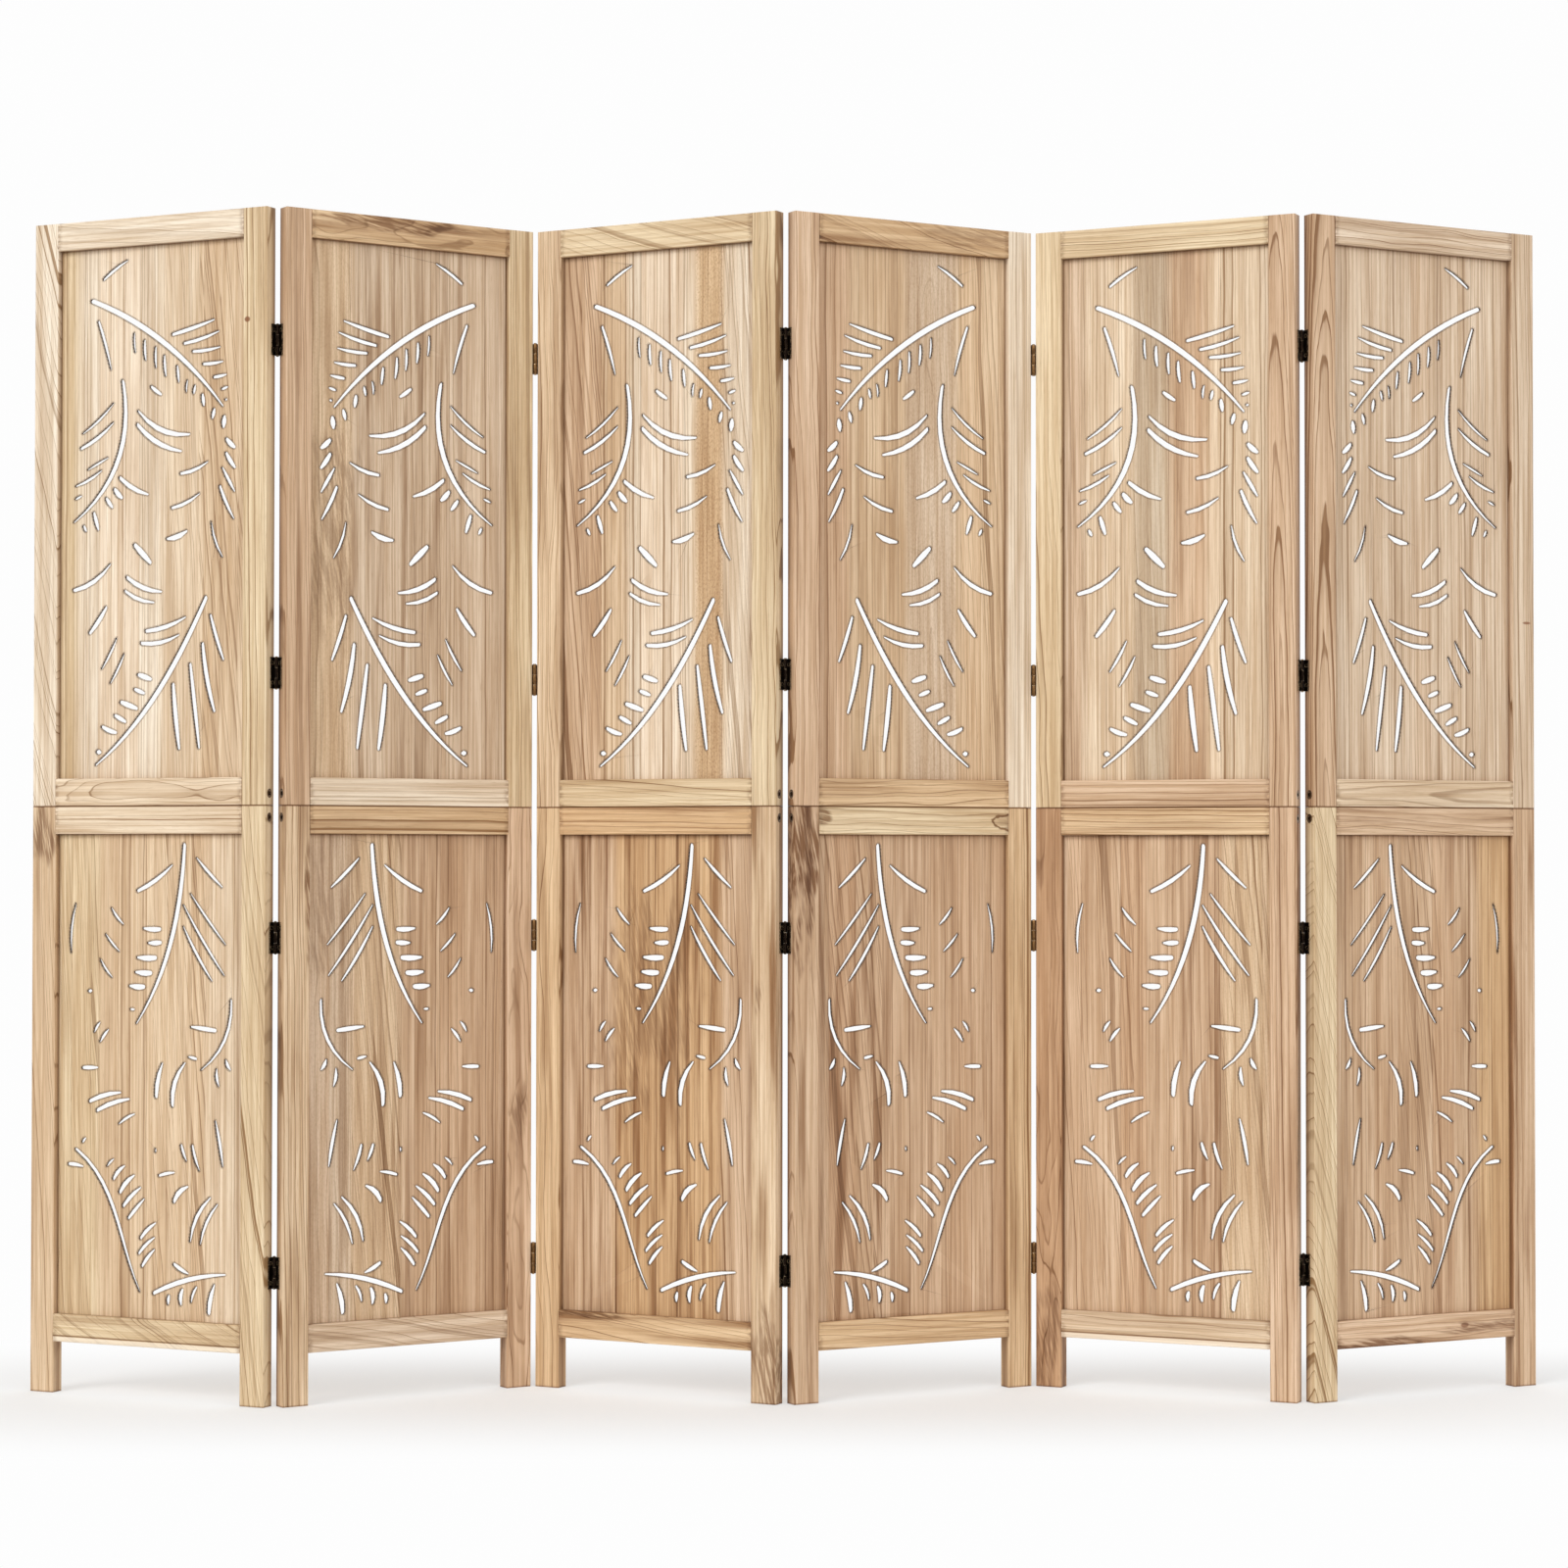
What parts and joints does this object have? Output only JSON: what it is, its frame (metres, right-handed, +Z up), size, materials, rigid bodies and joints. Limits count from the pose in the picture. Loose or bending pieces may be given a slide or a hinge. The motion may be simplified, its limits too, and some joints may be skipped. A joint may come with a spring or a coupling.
{
  "type": "folding screen",
  "caption": "Free-standing folding room screen: framed wooden panels with boards pierced in leaf sprays, joined edge to edge by pinned butt hinges.",
  "frame": {"origin": "on the floor, at the centre of the box round the standing screen", "axes": "+X along the row of panels, left to right seen from the front; +Y from the front of the screen to its back; +Z up"},
  "size_m": [2.2054, 0.258, 1.7],
  "materials": {
    "frame_wood": "bare sanded softwood, pale honey, low sheen",
    "board": "bare sanded strips glued edge to edge, low sheen",
    "dowel_wood": "bare hardwood",
    "bolt_steel": "dull zinc",
    "aged_brass": "dark aged bronze plating, satin"
  },
  "bodies": {
    "panel_1": {"panel_1_upper_board": "board", "panel_1_lower_board": "board", "panel_1_upper_stiles": "frame_wood", "panel_1_legs": "frame_wood", "panel_1_rails": "frame_wood", "panel_1_frame_bolts": "bolt_steel", "panel_1_joining_dowels": "dowel_wood", "panel_1_hinge_leaves": "aged_brass", "panel_1_hinge_screws": "aged_brass", "hinge_pins_1": "aged_brass"},
    "panel_2": {"panel_2_upper_board": "board", "panel_2_lower_board": "board", "panel_2_upper_stiles": "frame_wood", "panel_2_legs": "frame_wood", "panel_2_rails": "frame_wood", "panel_2_frame_bolts": "bolt_steel", "panel_2_joining_dowels": "dowel_wood", "panel_2_hinge_leaves": "aged_brass", "panel_2_hinge_screws": "aged_brass", "hinge_pins_2": "aged_brass"},
    "panel_3": {"panel_3_upper_board": "board", "panel_3_lower_board": "board", "panel_3_upper_stiles": "frame_wood", "panel_3_legs": "frame_wood", "panel_3_rails": "frame_wood", "panel_3_frame_bolts": "bolt_steel", "panel_3_joining_dowels": "dowel_wood", "panel_3_hinge_leaves": "aged_brass", "panel_3_hinge_screws": "aged_brass", "hinge_pins_3": "aged_brass"},
    "panel_4": {"panel_4_upper_board": "board", "panel_4_lower_board": "board", "panel_4_upper_stiles": "frame_wood", "panel_4_legs": "frame_wood", "panel_4_rails": "frame_wood", "panel_4_frame_bolts": "bolt_steel", "panel_4_joining_dowels": "dowel_wood", "panel_4_hinge_leaves": "aged_brass", "panel_4_hinge_screws": "aged_brass", "hinge_pins_4": "aged_brass"},
    "panel_5": {"panel_5_upper_board": "board", "panel_5_lower_board": "board", "panel_5_upper_stiles": "frame_wood", "panel_5_legs": "frame_wood", "panel_5_rails": "frame_wood", "panel_5_frame_bolts": "bolt_steel", "panel_5_joining_dowels": "dowel_wood", "panel_5_hinge_leaves": "aged_brass", "panel_5_hinge_screws": "aged_brass", "hinge_pins_5": "aged_brass"},
    "panel_6": {"panel_6_upper_board": "board", "panel_6_lower_board": "board", "panel_6_upper_stiles": "frame_wood", "panel_6_legs": "frame_wood", "panel_6_rails": "frame_wood", "panel_6_frame_bolts": "bolt_steel", "panel_6_joining_dowels": "dowel_wood", "panel_6_hinge_leaves": "aged_brass", "panel_6_hinge_screws": "aged_brass"}
  },
  "joints": [
    {"name": "fold_1", "type": "hinge", "parent": "panel_1", "child": "panel_2", "pos_m": [-0.7283, -0.10843, 0.85], "axis": [0, 0, 1], "range_deg": [-58, 122]},
    {"name": "fold_2", "type": "hinge", "parent": "panel_2", "child": "panel_3", "pos_m": [-0.37467, 0.08973, 0.85], "axis": [0, 0, -1], "range_deg": [-61, 119]},
    {"name": "fold_3", "type": "hinge", "parent": "panel_3", "child": "panel_4", "pos_m": [-0.00512, -0.07686, 0.85], "axis": [0, 0, 1], "range_deg": [-57, 123]},
    {"name": "fold_4", "type": "hinge", "parent": "panel_4", "child": "panel_5", "pos_m": [0.36147, 0.09615, 0.85], "axis": [0, 0, -1], "range_deg": [-55, 125]},
    {"name": "fold_5", "type": "hinge", "parent": "panel_5", "child": "panel_6", "pos_m": [0.73661, -0.05743, 0.85], "axis": [0, 0, 1], "range_deg": [-54, 126]}
  ]
}
